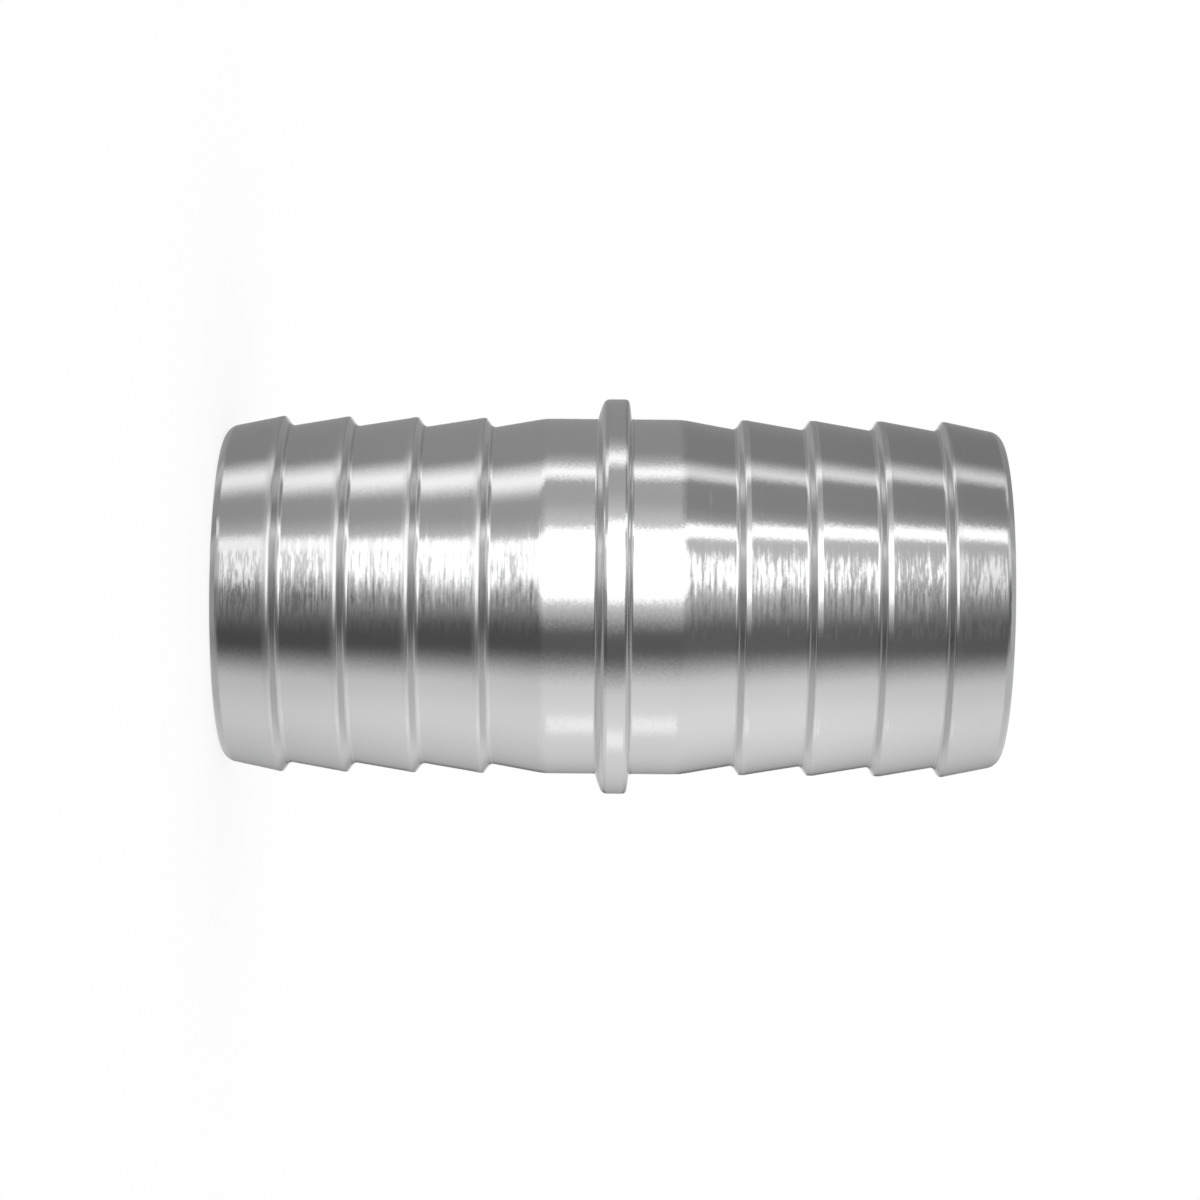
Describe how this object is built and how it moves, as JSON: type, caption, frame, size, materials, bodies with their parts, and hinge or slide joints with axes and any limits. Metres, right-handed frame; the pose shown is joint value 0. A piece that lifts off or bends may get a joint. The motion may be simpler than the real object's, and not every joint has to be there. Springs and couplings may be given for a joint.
{
  "type": "hose connector",
  "caption": "Straight hose connector turned from bright steel: a barbed spigot with a rounded nose on each end, smooth seats beside a stop collar, and a through bore.",
  "frame": {"origin": "centre of the end face that the connector stands on", "axes": "+Z along the bore, from the end face it stands on up to the other one; it is round, so X and Y have no direction of their own"},
  "size_m": [0.0378, 0.0378, 0.074],
  "materials": {
    "bright_steel": "turned bright, with fine feed marks round the axis; seats and collar polished"
  },
  "bodies": {
    "root": {"connector_body": "bright_steel"}
  },
  "joints": []
}
